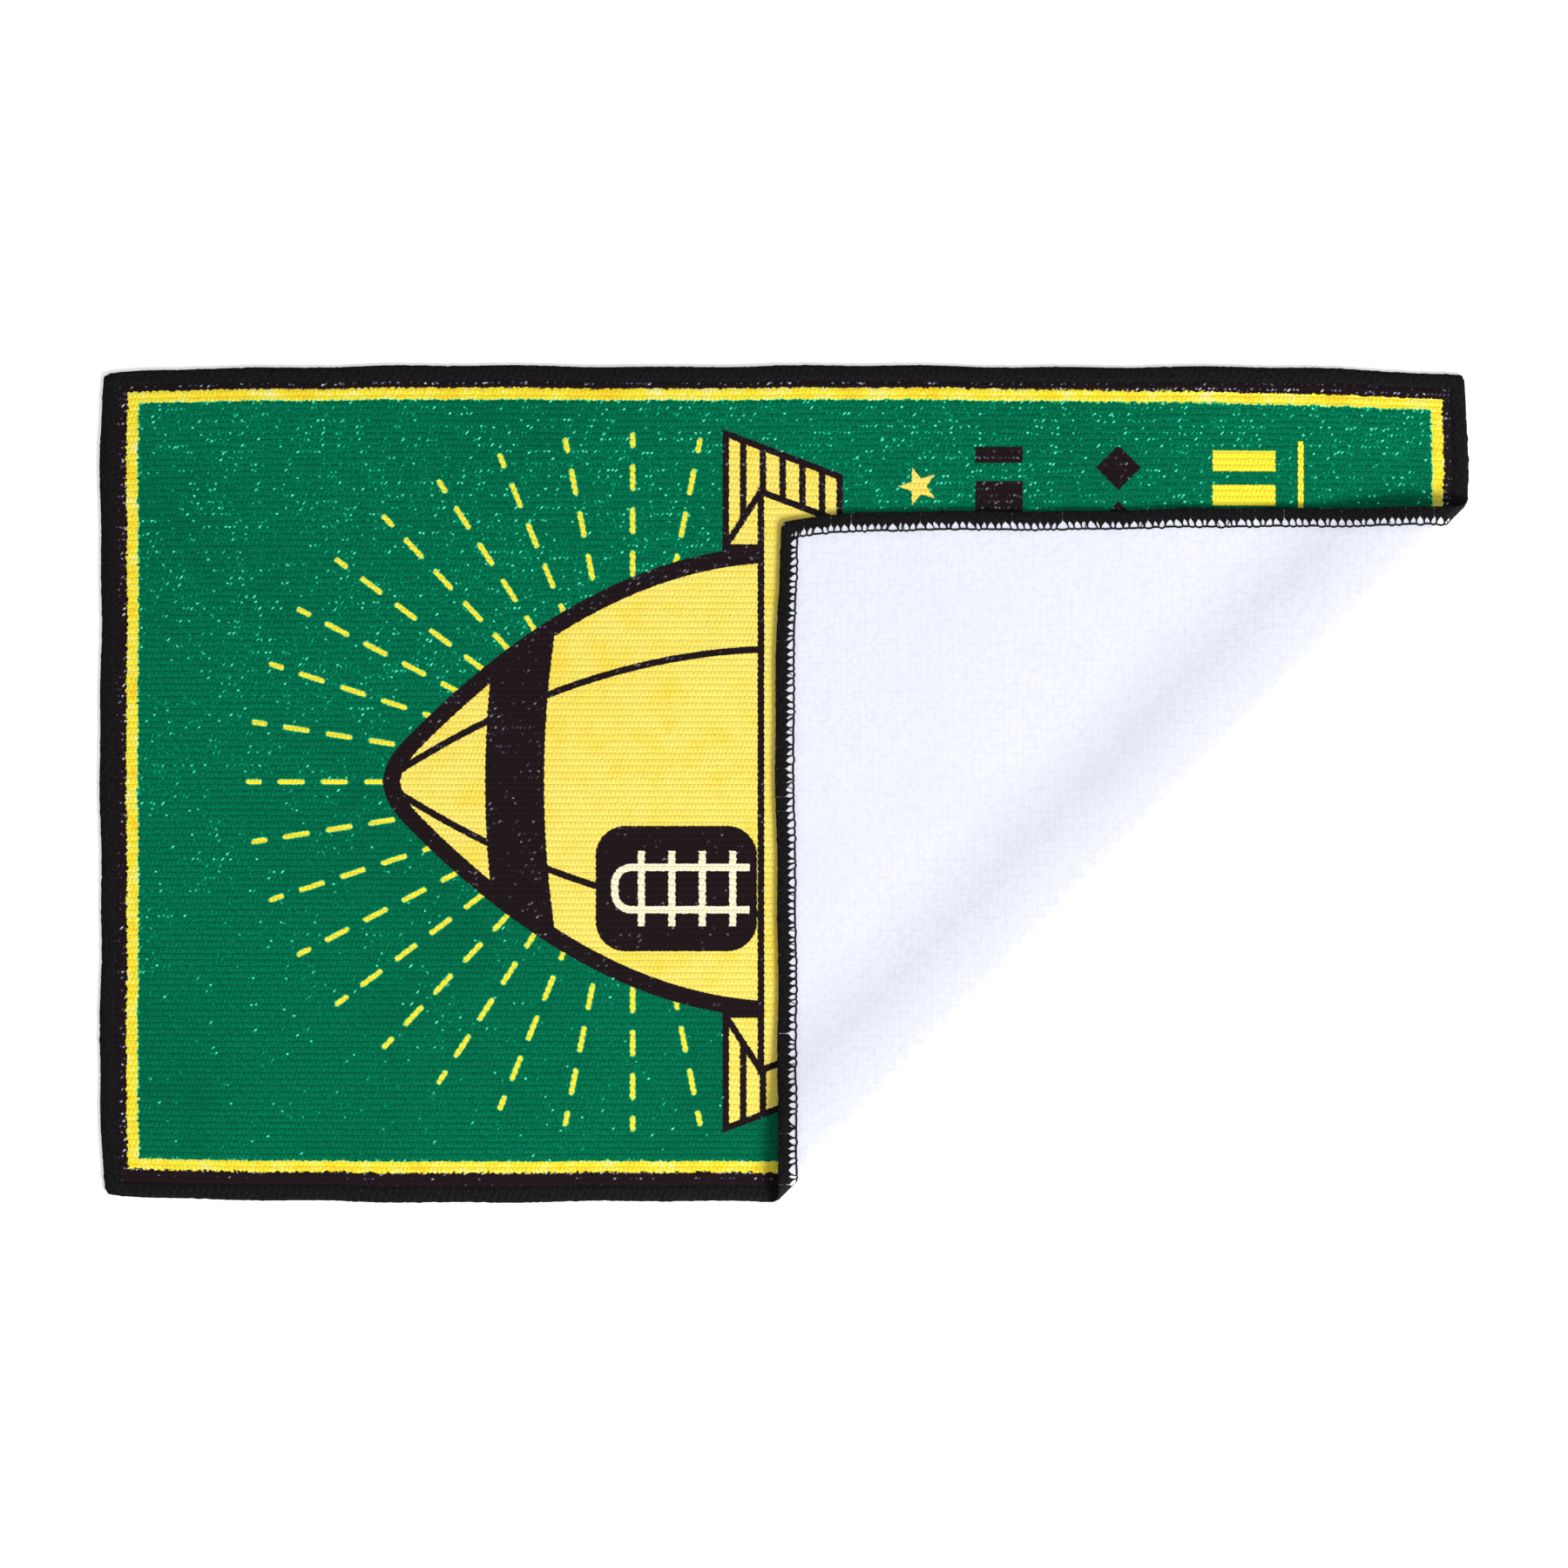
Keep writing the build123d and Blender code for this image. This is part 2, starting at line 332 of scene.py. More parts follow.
def seam_zone(edge, along):
    """Which zone of the towel each stitch along an edge is in; bend is the whole bend here."""
    start, direction, inward, _ = EDGES[edge]
    x = start[0] + direction[0] * along + inward[0] * SEAM / 2
    y = start[1] + direction[1] * along + inward[1] * SEAM / 2
    reach = reach_of(x, y)
    passed = [reach <= 0, reach <= BEND_LENGTH, reach <= CORNER_REACH]
    return np.select(passed, SEAM_ZONES[:3], SEAM_ZONES[3])


def strands(along, inset, height, half_width, half_height, sides):
    """Vertices of many strands: arrays are (strand, ring); the section is a flat ellipse.

    The section's wide axis runs along the edge and its thin axis is square to the strand.
    Returns along, inset and height of every vertex and its fibre coordinates.
    """
    step_inset = np.gradient(inset, axis=1)
    step_height = np.gradient(height, axis=1)
    size = np.maximum(np.hypot(step_inset, step_height), 1e-9)
    normal_inset, normal_height = -step_height / size, step_inset / size
    angle = np.arange(sides) * (2 * math.pi / sides) + math.pi / sides
    wide = np.cos(angle)[None, None, :] * half_width[..., None]
    thin = np.sin(angle)[None, None, :] * half_height[..., None]
    vertex_along = along[..., None] + wide
    vertex_inset = inset[..., None] + normal_inset[..., None] * thin
    vertex_height = height[..., None] + normal_height[..., None] * thin
    travelled = np.concatenate([np.zeros((len(inset), 1)), np.cumsum(size[:, 1:], axis=1)], axis=1)
    shift = rng.uniform(0, 1, (len(inset), 1, 1))
    fibre_across = wide + shift
    fibre_along = np.broadcast_to(travelled[..., None], wide.shape) + shift * 3.1
    return vertex_along, vertex_inset, vertex_height, fibre_across, fibre_along


def tube_faces(count, rings, sides):
    """Faces of many closed tubes with the same number of rings and sides."""
    ring, side = np.meshgrid(np.arange(rings - 1), np.arange(sides), indexing="ij")
    a = (ring * sides + side).ravel()
    b = (ring * sides + (side + 1) % sides).ravel()
    quads = np.stack([a, b, b + sides, a + sides], axis=1)
    first = np.arange(sides)[::-1]
    last = np.arange(sides) + (rings - 1) * sides
    faces = []
    for i in range(count):
        base = i * rings * sides
        faces.extend((quads + base).tolist())
        faces.append((first + base).tolist())
        faces.append((last + base).tolist())
    return faces


class Seam:
    """Collects one thread's strands in one zone of one edge."""

    def __init__(self):
        self.points, self.uv, self.faces = [], [], []
        self.total = 0

    def add(self, points, uv, rings, sides):
        """Adds strands that all have the same number of rings and sides."""
        count = len(points)
        flat = points.reshape(-1, 3)
        faces = tube_faces(count, rings, sides)
        self.faces.extend([[i + self.total for i in face] for face in faces])
        self.points.append(flat)
        self.uv.append(uv.reshape(-1, 2))
        self.total += len(flat)


seams = {}


def add_to_seams(edge, thread, centre, points, uv, rings, sides):
    """Adds strands to the seams of an edge; centre says which zone each strand is in."""
    zones = seam_zone(edge, centre)
    for zone in SEAM_ZONES:
        chosen = zones == zone
        if chosen.any():
            seam = seams.setdefault((zone, edge, thread), Seam())
            seam.add(points[chosen], uv[chosen], rings, sides)


def sew(edge, thread, centre, along, inset, height, half_width, half_height, sides):
    """Sews strands with a flat section, as strands() makes them."""
    made = strands(along, inset, height, half_width, half_height, sides)
    points = on_edge(edge, made[0], made[1], made[2])
    uv = np.stack([made[3], made[4]], axis=-1)
    add_to_seams(edge, thread, centre, points, uv, inset.shape[1], sides)


def millimetres(values, count, spread=0.0):
    """A row of values for each of count strands, in metres, each with a small random change."""
    row = np.tile(np.array(values, float) * MM, (count, 1))
    return row + rng.normal(0, 1, (count, 1)) * spread * MM


def stitch_places(total):
    """Where the stitches of one edge are, with the unevenness of a fast machine seam."""
    sewn = total - 2 * END_GAP
    count = int(round(sewn / STITCH_PITCH))
    even = (np.arange(count) + 0.5) / count * sewn - sewn / 2
    return even + rng.normal(0, 0.09 * MM, count)


def sew_upper_looper(edge, places):
    """The printed side's covering: broad slanting strands that wrap over the cut edge."""
    count = len(places)
    inset = millimetres([4.95, 4.6, 4.0, 3.1, 2.1, 1.1, 0.35, 0.02, 0.0], count)
    inset[:, 7:] += rng.normal(0, 0.08 * MM, (count, 1))
    height = millimetres([1.1, 1.2, 1.25, 1.27, 1.26, 1.2, 1.02, 0.76, 0.5], count)
    slant = (FACE_SEAM - inset) / FACE_SEAM * STITCH_PITCH * 0.9
    along = places[:, None] - slant + STITCH_PITCH * 0.45
    half_width = millimetres([0.9, 1.2, 1.38, 1.42, 1.42, 1.42, 1.36, 1.25, 1.1], count, 0.05)
    half_height = millimetres([0.1, 0.17, 0.21, 0.22, 0.22, 0.24, 0.28, 0.32, 0.26], count)
    sew(edge, "upper_looper_thread", places, along, inset, height, half_width, half_height, 8)


def sew_lower_looper(edge, places):
    """The back's covering: legs that widen from the needle line into a solid outer band."""
    count = len(places)
    band = 3.4 * MM
    inset = millimetres([5.75, 5.35, 4.8, 4.3, 3.85, 3.4, 1.9, 0.6, 0.05, 0.0], count)
    inset[:, 2:6] += rng.normal(0, 0.16 * MM, (count, 1))
    height = millimetres([0.16, 0.14, 0.15, 0.15, 0.15, 0.16, 0.16, 0.24, 0.5, 0.85], count)
    lean = rng.normal(0.12, 0.24, (count, 1)) * STITCH_PITCH
    along = places[:, None] + lean * np.clip((inset - band) / (SEAM - band), 0, 1)
    half_width = millimetres([0.22, 0.27, 0.34, 0.5, 0.92, 1.36, 1.48, 1.42, 1.22, 1.05], count)
    half_width[:, :5] *= rng.uniform(0.75, 1.3, (count, 1))
    half_height = millimetres([0.12, 0.13, 0.15, 0.16, 0.17, 0.19, 0.2, 0.25, 0.3, 0.26], count)
    sew(edge, "lower_looper_thread", places, along, inset, height, half_width, half_height, 6)
    sew_chain(edge, places, along[:, 0])
    sew_crossing_strands(edge, places)


def sew_chain(edge, places, apex):
    """The back's inner line, which runs from each leg's tip to the next."""
    count = len(places)
    following = np.append(apex[1:], apex[-1] + STITCH_PITCH / 2)
    share = np.linspace(0, 1, 5)[None, :]
    line_along = apex[:, None] * (1 - share) + following[:, None] * share
    bow = rng.uniform(-0.05, 0.5, (count, 1)) * MM
    line_inset = 5.75 * MM + bow * np.sin(share * math.pi)
    sew_line(edge, "lower_looper_thread", places, line_along, line_inset, 0.13 * MM, 0.36 * MM)


def sew_crossing_strands(edge, places):
    """A few thin strands on the back that cross from one leg to another."""
    crossed = places[rng.random(len(places)) < 0.16]
    count = len(crossed)
    inset = millimetres([5.9, 5.0, 4.0, 2.9], count)
    height = millimetres([0.1, 0.08, 0.07, 0.12], count)
    tilt = rng.choice([-1, 1], (count, 1)) * rng.uniform(0.25, 0.6, (count, 1)) * STITCH_PITCH
    along = crossed[:, None] + tilt * (1 - np.linspace(0, 1, 4)[None, :])
    thin = millimetres([0.13, 0.13, 0.14, 0.16], count)
    sew(edge, "lower_looper_thread", crossed, along, inset, height, thin, thin, 6)


def sew_needle(edge, places):
    """The needle thread: a short bead for every stitch, sunk into the printed face."""
    share = np.linspace(-0.46, 0.46, 6)[None, :]
    line_along = places[:, None] + share * STITCH_PITCH
    line_inset = np.full_like(line_along, FACE_SEAM + 0.2 * MM)
    sew_line(edge, "needle_thread", places, line_along, line_inset, 1.2 * MM, 0.25 * MM, True)


def sew_line(edge, thread, centre, along, inset, height, half, tapered=False):
    """Sews strands that run along the edge rather than across it."""
    count, rings = along.shape
    sides, flatness, tip = 6, 0.6, 0.45
    angle = np.arange(sides) * (2 * math.pi / sides)
    size = np.full(rings, half)
    if tapered:
        size[[0, -1]] *= tip
    wide = np.sin(angle)[None, None, :] * size[None, :, None]
    high = np.cos(angle)[None, None, :] * size[None, :, None] * flatness
    vertex_along = np.broadcast_to(along[..., None], (count, rings, sides))
    points = on_edge(edge, vertex_along, inset[..., None] + wide, height + high)
    shift = rng.uniform(0, 1, (count, 1, 1))
    fibre = np.stack([wide + shift, vertex_along + shift], axis=-1)
    add_to_seams(edge, thread, centre, points, fibre, rings, sides)


# ---------------------------------------------------------------- node expressions
STUDIO_LIGHT = 1.14  # the brightness of a flat white surface in the studio


class Value:
    """A number that a shader computes, so that patterns can be written as arithmetic."""

    def __init__(self, tree, socket):
        self.tree = tree
        self.socket = socket

    def __add__(self, other):
        return calculate("ADD", self, other)

    def __sub__(self, other):
        return calculate("SUBTRACT", self, other)

    def __rsub__(self, other):
        return calculate("SUBTRACT", other, self)

    def __mul__(self, other):
        return calculate("MULTIPLY", self, other)

    def __truediv__(self, other):
        return calculate("DIVIDE", self, other)

    __radd__ = __add__
    __rmul__ = __mul__


def calculate(operation, *values, clamp=False):
    """A Math node; at least one of the values is a Value."""
    tree = next(v.tree for v in values if isinstance(v, Value))
    node = tree.nodes.new("ShaderNodeMath")
    node.operation = operation
    node.use_clamp = clamp
    for i, value in enumerate(values):
        if isinstance(value, Value):
            tree.links.new(value.socket, node.inputs[i])
        else:
            node.inputs[i].default_value = value
    return Value(tree, node.outputs[0])


def least(*values):
    result = values[0]
    for value in values[1:]:
        result = calculate("MINIMUM", result, value)
    return result


def most(*values):
    result = values[0]
    for value in values[1:]:
        result = calculate("MAXIMUM", result, value)
    return result


def size_of(value):
    return calculate("ABSOLUTE", value)


def length_of(x, y):
    return calculate("SQRT", x * x + y * y)


def repeated(value, period):
    """The distance from the middle of the nearest repeat."""
    return calculate("PINGPONG", value + period * 60, period / 2)


def inside(distance, softness=0.22):
    """1 where a signed distance is negative, 0 where it is positive, soft between."""
    return calculate("MULTIPLY_ADD", distance, -1 / softness, 0.5, clamp=True)


def remap(value, low, high, to_low=0.0, to_high=1.0):
    """A smooth step from one range to another."""
    node = value.tree.nodes.new("ShaderNodeMapRange")
    node.interpolation_type = "SMOOTHSTEP"
    value.tree.links.new(value.socket, node.inputs["Value"])
    node.inputs["From Min"].default_value = low
    node.inputs["From Max"].default_value = high
    node.inputs["To Min"].default_value = to_low
    node.inputs["To Max"].default_value = to_high
    return Value(value.tree, node.outputs["Result"])


def vector_of(x, y, z=0.0):
    tree = x.tree
    node = tree.nodes.new("ShaderNodeCombineXYZ")
    for socket, value in zip(node.inputs, (x, y, z)):
        if isinstance(value, Value):
            tree.links.new(value.socket, socket)
        else:
            socket.default_value = value
    return Value(tree, node.outputs[0])


def noise(vector, scale, detail=2.0):
    node = vector.tree.nodes.new("ShaderNodeTexNoise")
    vector.tree.links.new(vector.socket, node.inputs["Vector"])
    node.inputs["Scale"].default_value = scale
    node.inputs["Detail"].default_value = detail
    return Value(vector.tree, node.outputs[0])


def cells(vector, randomness):
    """The distance from the middle of the nearest cell, about 0 to 0.8."""
    node = vector.tree.nodes.new("ShaderNodeTexVoronoi")
    vector.tree.links.new(vector.socket, node.inputs["Vector"])
    node.inputs["Scale"].default_value = 1.0
    node.inputs["Randomness"].default_value = randomness
    return Value(vector.tree, node.outputs["Distance"])


def random_of(x, y, z=0.0):
    """A random number for each whole x, y."""
    place = vector_of(x, y, z)
    node = place.tree.nodes.new("ShaderNodeTexWhiteNoise")
    place.tree.links.new(place.socket, node.inputs["Vector"])
    return Value(place.tree, node.outputs["Value"])


def colour(red, green, blue):
    """The colour of a surface that the studio's light shows with these 0 to 255 values."""
    shares = np.array([red, green, blue]) / 255.0
    linear = np.where(shares <= 0.04045, shares / 12.92, ((shares + 0.055) / 1.055) ** 2.4)
    return tuple(float(v) for v in linear / STUDIO_LIGHT) + (1.0,)


def painted(under, over, cover):
    """Paints the colour over on under where cover is 1."""
    tree = cover.tree
    node = tree.nodes.new("ShaderNodeMix")
    node.data_type = "RGBA"
    tree.links.new(cover.socket, node.inputs["Factor"])
    for socket, value in ((node.inputs["A"], under), (node.inputs["B"], over)):
        if isinstance(value, Value):
            tree.links.new(value.socket, socket)
        else:
            socket.default_value = value
    return Value(tree, node.outputs["Result"])


def new_material(name, uv_name):
    """An empty material with its shader, and the piece's drawn coordinates in millimetres."""
    material = bpy.data.materials.new(name)
    material.use_nodes = True
    tree = material.node_tree
    shader = tree.nodes["Principled BSDF"]
    place = tree.nodes.new("ShaderNodeUVMap")
    place.uv_map = uv_name
    split = tree.nodes.new("ShaderNodeSeparateXYZ")
    tree.links.new(place.outputs["UV"], split.inputs[0])
    x = Value(tree, split.outputs["X"]) * 1000
    y = Value(tree, split.outputs["Y"]) * 1000
    return material, shader, x, y


def connect(value, socket):
    value.tree.links.new(value.socket, socket)


def add_bump(shader, height, distance, strength=1.0):
    tree = height.tree
    bump = tree.nodes.new("ShaderNodeBump")
    bump.inputs["Strength"].default_value = strength
    bump.inputs["Distance"].default_value = distance
    tree.links.new(height.socket, bump.inputs["Height"])
    tree.links.new(bump.outputs["Normal"], shader.inputs["Normal"])


# ---------------------------------------------------------------- the print
GREEN = colour(0, 128, 88)
DEEP_GREEN = colour(0, 113, 76)
# The knit's slanted mottle, and the painted shade in its valleys:
MOTTLE_AND_SHADE_GREEN = colour(0, 88, 60)
MINT = colour(10, 222, 160)
PALE_MINT = colour(105, 252, 212)
YELLOW = colour(255, 234, 112)
DEEP_YELLOW = colour(252, 214, 28)
FRAME_YELLOW = colour(254, 238, 62)
ORANGE = colour(255, 205, 44)
BLACK = colour(33, 23, 27)
CREAM = colour(252, 249, 210)
LILAC = colour(170, 180, 225)
# All in millimetres from here on: the knit's rows and loops, and what the print is drawn from.
WALE = 2.1
COURSE = 1.42
BALL_AXIS = 0.7
RIBBON_AXIS = 1.0
LACES_AXIS = -35.0
BALL_BORDER = 5.6
RIBBON_BORDER = 2.25
FRAME_WIDTH = 3.7


def box_distance(x, y, centre, half):
    return most(size_of(x - centre[0]) - half[0], size_of(y - centre[1]) - half[1])


def rounded_box_distance(x, y, centre, half, radius):
    """A box that is rounded outwards by radius."""
    past_x = most(size_of(x - centre[0]) - half[0], 0.0)
    past_y = most(size_of(y - centre[1]) - half[1], 0.0)
    return length_of(past_x, past_y) - radius


def knit(x, y):
    """The height of the warp knit's ribs and loops, from 0 to 1."""
    rows = y / WALE
    row = calculate("FLOOR", rows)
    columns = x / COURSE + calculate("MODULO", row, 2.0) * 0.5
    rib = calculate("SINE", (rows - row) * math.pi)
    loop = calculate("SINE", (columns - calculate("FLOOR", columns)) * math.pi)
    return calculate("POWER", rib, 0.6) * (loop * 0.45 + 0.55)


def star_distance(x, y, radius):
    """A five-pointed star that points along -X."""
    fifth = 2 * math.pi / 5
    angle = calculate("ARCTAN2", y, x * -1)
    folded = calculate("PINGPONG", angle + 2 * math.pi, fifth / 2)
    from_centre = length_of(x, y)
    local_x = from_centre * calculate("COSINE", folded)
    local_y = from_centre * calculate("SINE", folded)
    inner = radius * 0.42
    dip_x, dip_y = inner * math.cos(fifth / 2), inner * math.sin(fifth / 2)
    edge = math.hypot(dip_x - radius, dip_y)
    return (local_x - radius) * (dip_y / edge) + local_y * ((radius - dip_x) / edge)


def ray_distance(x, y):
    """Dashed rays that end on an ellipse: ten degrees apart on a circle that is then squashed."""
    step, squash = math.radians(10), 0.895
    half_length, half_height = 129.4, 117.0
    half_width, rightmost = 0.8, -21.5
    local_x, local_y = x + 50.6, y - BALL_AXIS
    angle = calculate("ARCTAN2", local_y / squash, local_x)
    snapped = calculate("SNAP", angle + (step / 2 + 4 * math.pi), step)
    ray_x = calculate("COSINE", snapped)
    ray_y = calculate("SINE", snapped) * squash
    ray_size = length_of(ray_x, ray_y)
    ray_x, ray_y = ray_x / ray_size, ray_y / ray_size
    across = size_of(local_x * ray_y - local_y * ray_x)
    from_centre = local_x * ray_x + local_y * ray_y
    end_x, end_y = ray_x / half_length, ray_y / half_height
    end = calculate("INVERSE_SQRT", end_x * end_x + end_y * end_y)
    # Inwards from a ray's end: one short dash, and then longer ones at equal distances.
    back = end - from_centre
    first = size_of(back - 2.6) - 1.8
    others = repeated(back - 15.1, 14.5) - 3.65
    others = others + calculate("LESS_THAN", back, 8.0) * 50
    beyond = most(least(first, others), 0.0)
    return most(length_of(beyond, across) - half_width, x - rightmost)


def bow_distance(x, y, half_length, half_height):
    """A pointed oval made by two parabolas, such as a ball's outline or its seams."""
    slope = 2 * half_height / half_length ** 2
    rise = size_of(y) + x * x * (slope / 2) - half_height
    return rise / length_of(x * slope, 1.0)


def rounded_most(first, second, radius):
    """The larger of two distances, with the corner where they meet rounded off."""
    return calculate("SMOOTH_MAX", first, second, radius)


def lace_distance(x, y):
    """A round-ended loop of lace with short bars across it."""
    loop = rounded_box_distance(x, y, (-27.0, LACES_AXIS), (24.0, 1.5), 5.6)
    loop = most(size_of(loop) - 1.2, x + 11.5)
    bars = most(repeated(x + 47.7, 10.2) - 1.15, size_of(y - LACES_AXIS) - 12.6)
    return least(loop, most(bars, size_of(x + 32.4) - 17.5))


def paint_ball(base, x, y, yellow):
    """Half a ball that stands out from behind the ribbon: outline, seams, stripe and laces."""
    local_y = y - BALL_AXIS
    nose, bluntness, behind_ribbon = -134.5, 9.0, 2.0
    outline = bow_distance(x, local_y, half_length=140.0, half_height=79.0)
    outline = most(rounded_most(outline, (x - nose) * -1, bluntness), x - behind_ribbon)
    seam = size_of(bow_distance(x, local_y, half_length=134.6, half_height=44.5)) - 1.15
    stripe = size_of(x + 90.1 - local_y * local_y * 0.00145) - 9.9
    patch = rounded_box_distance(x, y, (-36.0, LACES_AXIS), (17.0, 11.0), 10.0)
    base = painted(base, BLACK, inside(outline))
    base = painted(base, yellow, inside(outline + BALL_BORDER))
    black = least(seam, stripe, patch)
    base = painted(base, BLACK, inside(most(black, outline)))
    return painted(base, CREAM, inside(most(lace_distance(x, y), outline + BALL_BORDER)))


def paint_ribbon(base, x, y, yellow):
    """A plain ribbon across the ball, turned under at each end into a striped tail."""
    up = size_of(y - RIBBON_AXIS)
    slope, square = 0.38, 0.935  # how the ends slant, and the part of a run along y square to them
    turned_from = 79.3
    tail_end = (up + x * slope - 110.1) * square
    tail = most(size_of(x + 0.4) - 20.2, tail_end, 76.5 - up)
    band_end = (up + x * slope - 95.1) * square
    band = most(size_of(x - 11.2) - 20.0, band_end)
    stripes = RIBBON_BORDER / 2 - repeated(x + 13.6, 6.6)
    crease = (x + 19.1) * -0.839 + (up - turned_from) * 0.544
    turned = most(crease + RIBBON_BORDER / 2, turned_from - up)
    base = painted(base, BLACK, inside(tail))
    base = painted(base, yellow, inside(most(tail + RIBBON_BORDER, stripes)))
    base = painted(base, BLACK, inside(most(tail, crease - RIBBON_BORDER / 2, x + 7.0)))
    base = painted(base, yellow, inside(most(tail, turned, x + 7.0)))
    base = painted(base, BLACK, inside(band))
    return painted(base, yellow, inside(band + RIBBON_BORDER))


def paint_lower_rows(base, x, y, yellow):
    """Plain rows of shapes below the ribbon, where the real towel has its lettering."""
    up = y - RIBBON_AXIS
    star = star_distance(x - 45.0, size_of(up) - 98.6, radius=6.6)
    base = painted(base, yellow, inside(star))
    within = size_of(up) - 112.0
    blocks = most(size_of(x - 72.0) - 8.0, repeated(up + 4.5, 18.0) * -1 + 3.0, within)
    diamonds = size_of(x - 112.0) + repeated(up + 9.0, 19.0) - 7.6
    black = least(blocks, most(diamonds * 0.707, within))
    base = painted(base, BLACK, inside(black))
    bars = most(size_of(x - 154.0) - 10.5, repeated(up + 2.0, 11.5) * -1 + 2.3, within)
    line = most(size_of(x - 173.0) - 0.9, size_of(up) - 114.0)
    return painted(base, FRAME_YELLOW, inside(least(bars, line)))


def frame_distance(x, y):
    """The outer edge of the printed frame, whose upper right corner sits a little low."""
    skew = remap(x, 40.0, 228.0, 0.0, 1.7) * remap(y, 100.0, 125.0)
    return box_distance(x, y + skew, (0.3, 1.2), (220.3, 131.2))


def print_colour(x, y, loops):
    """The whole printed face, from the seam's black border inwards; its edges follow loops."""
    place = vector_of(x, y)
    ragged_x = x + (noise(place, 1.1) - 0.5) * 0.6 + (loops - 0.5) * 0.35
    shifted = vector_of(x + 51.0, y - 37.0)
    ragged_y = y + (noise(shifted, 1.1) - 0.5) * 0.6
    broad = noise(place, 0.012, 3.0)
    patches = noise(place, 0.11, 3.0)
    green = painted(DEEP_GREEN, GREEN, remap(broad + patches * 0.5, 0.45, 0.85))
    grains = noise(vector_of(x * 0.7, y * 1.3), 1.0, 2.0)
    yellow = painted(YELLOW, DEEP_YELLOW, remap(patches + broad * 0.6, 0.7, 1.1, 0.0, 0.5))
    yellow = painted(yellow, DEEP_YELLOW, remap(grains, 0.5, 0.8, 0.0, 0.5))
    torn = (noise(vector_of(x, y, 5.0), 0.9) - 0.5) * 2.2 + (loops - 0.5) * 0.4
    frame_out = frame_distance(x, y) + torn
    rays = ray_distance(ragged_x, ragged_y)
    field = painted(green, MINT, inside(rays - 0.4) * 0.5)
    field = painted(field, FRAME_YELLOW, inside(rays))
    field = paint_lower_rows(field, ragged_x, ragged_y, yellow)
    field = paint_ball(field, ragged_x, ragged_y, yellow)
    field = paint_ribbon(field, ragged_x, ragged_y, yellow)
    rim = painted(FRAME_YELLOW, ORANGE, remap(grains + patches, 0.95, 1.25, 0.0, 0.8))
    rim = painted(rim, CREAM, remap(grains + patches, 0.95, 0.75, 0.0, 0.5))
    result = painted(BLACK, rim, inside(frame_out))
    result = painted(result, MINT, inside(frame_out + FRAME_WIDTH))
    return painted(result, field, inside(frame_out + FRAME_WIDTH + 0.35))


def specks(x, y, share, seed):
    """Bright fibre ends along the valleys between the ribs: how bright each place is."""
    rows = y / WALE
    row = calculate("FLOOR", rows)
    columns = x / COURSE + random_of(row, seed, 1.0)
    column = calculate("FLOOR", columns)
    runs = noise(vector_of(x * 0.07, row * 0.8, seed), 1.0)
    chance = random_of(column, row, seed) - remap(runs, 0.36, 0.64, 0.12, 1.0) * share
    shift = random_of(column, row, seed + 11.0) - 0.5
    turn = random_of(column, row, seed + 23.0)
    bright = random_of(column, row, seed + 37.0)
    local_x = (columns - column - 0.5 - shift * 0.35) * COURSE
    local_y = (rows - row - 0.5) * WALE - shift * 0.3
    rise = local_y - local_x * (turn * 1.1 - 0.15)
    reach = (local_x + local_y * 0.4) / (turn * bright * 0.55 + 0.34)
    thick = rise / (bright * 0.16 + 0.22)
    there = calculate("LESS_THAN", chance, 0.0)
    spot = remap(length_of(reach, thick), 0.55, 1.35, 1.0, 0.0)
    return spot * there * (bright * bright * 0.85 + 0.22)


def printed_material():
    """The printed face: the print, with pale specks and painted shade in the valleys, on the knit's bumps.
    """
    material, shader, x, y = new_material("printed_knit", "drawn")
    place = vector_of(x, y)
    drift = (noise(place, 0.35, 1.0) - 0.5) * 0.5
    height = knit(x + drift, y + drift * 0.4)
    colours = print_colour(x, y, height)
    worn = noise(place, 0.045, 3.0)
    share = remap(worn + y * 0.0016, 0.36, 0.74, 0.07, 0.8)
    beside_frame = remap(size_of(frame_distance(x, y) - 0.9), 0.4, 1.9, 0.75, 0.0)
    valley_y = y + drift * 0.4 + WALE / 2
    speck = most(specks(x, valley_y, most(share, beside_frame), 0.0),
                 specks(x + 0.5, valley_y + 0.4, share * 0.35, 40.0))
    split = material.node_tree.nodes.new("ShaderNodeSeparateColor")
    connect(colours, split.inputs[0])
    red, green = Value(colours.tree, split.outputs[0]), Value(colours.tree, split.outputs[1])
    # Only the greens have almost no red, and only black has almost no green.
    on_green = calculate("LESS_THAN", red, 0.012)
    on_black = calculate("LESS_THAN", green, 0.02)
    slanted = noise(vector_of((x + y) * 0.5, (x - y) * 1.3), 1.0, 2.0)
    # Painted shade: the green darkens in the knit's valleys, where shade falls; the slanted part is the
    # knit's own mottle.
    valley_shade_and_mottle = remap(slanted, 0.38, 0.66, 0.7, 0.0) + remap(height, 0.05, 0.7, 0.45, 0.0)
    colours = painted(colours, MOTTLE_AND_SHADE_GREEN, valley_shade_and_mottle * on_green)
    mint = painted(MINT, PALE_MINT, remap(speck, 0.5, 0.95))
    colours = painted(colours, mint, speck * on_green)
    pale = painted(LILAC, CREAM, remap(speck, 0.6, 1.0, 0.0, 0.7))
    colours = painted(colours, pale, speck * on_black * (beside_frame * 0.9 + 0.28))
    connect(colours, shader.inputs["Base Color"])
    rough = remap(noise(place, 2.0), 0.2, 0.8, 0.62, 0.88)
    connect(rough, shader.inputs["Roughness"])
    shader.inputs["Specular IOR Level"].default_value = 0.03
    fuzz = noise(place, 3.1, 3.0)
    add_bump(shader, height + fuzz * 0.4 + slanted * 0.6 + speck * 0.5, 0.26 * MM, 0.85)
    return material


